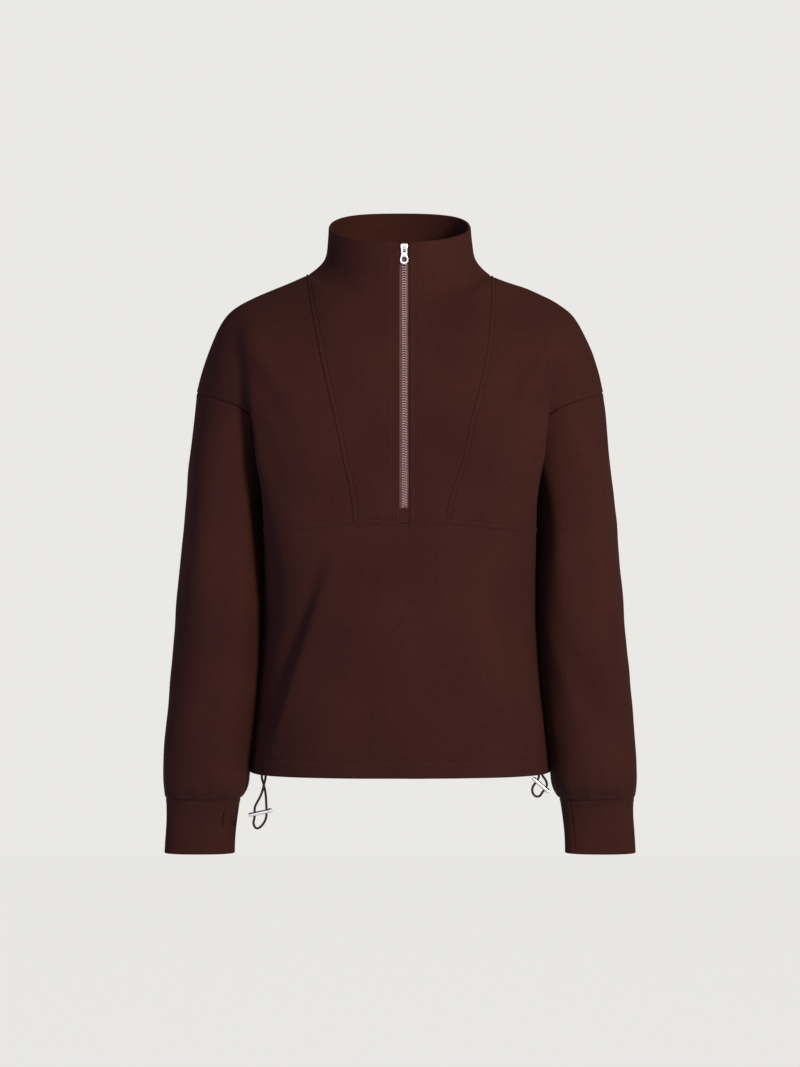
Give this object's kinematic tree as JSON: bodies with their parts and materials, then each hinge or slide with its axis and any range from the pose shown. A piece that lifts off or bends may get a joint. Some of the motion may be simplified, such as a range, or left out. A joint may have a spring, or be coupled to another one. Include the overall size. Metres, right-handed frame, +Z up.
{
  "type": "half-zip sweatshirt",
  "caption": "Knitted half-zip sweatshirt in its worn shape, hollow and open at neck, hem and cuffs, with hinged zip pull tab and hem drawcords.",
  "frame": {"origin": "middle of the neck opening at the shoulder seams' inner ends, where a wearer or hanger holds the garment", "axes": "+Z up to the collar, +Y to the back, +X to the wearer's left"},
  "size_m": [0.5658, 0.2425, 0.7711],
  "materials": {
    "brushed_knit": "brushed matt knit",
    "woven_tape": "woven tape",
    "zip_teeth": "moulded coil",
    "bright_nickel": "bright plated",
    "braided_cord": "braided cord"
  },
  "bodies": {
    "garment": {"back": "brushed_knit", "centre_front_left": "brushed_knit", "centre_front_right": "brushed_knit", "collar_back": "brushed_knit", "cord_left": "braided_cord", "cord_right": "braided_cord", "cuff_left": "brushed_knit", "cuff_right": "brushed_knit", "lower_front": "brushed_knit", "side_front_left": "brushed_knit", "side_front_right": "brushed_knit", "sleeve_left": "brushed_knit", "sleeve_right": "brushed_knit", "toggle_left": "bright_nickel", "toggle_right": "bright_nickel", "zip_chain": "zip_teeth", "zip_end_strip": "brushed_knit", "zip_slider": "bright_nickel", "zip_tape": "woven_tape"},
    "pull_tab": {"zip_pull": "bright_nickel"}
  },
  "joints": [
    {"name": "pull_tab_hinge", "type": "hinge", "parent": "garment", "child": "pull_tab", "pos_m": [0.005, -0.07765, 0.0343], "axis": [-1, 0, 0], "range_deg": [0, 150]}
  ]
}
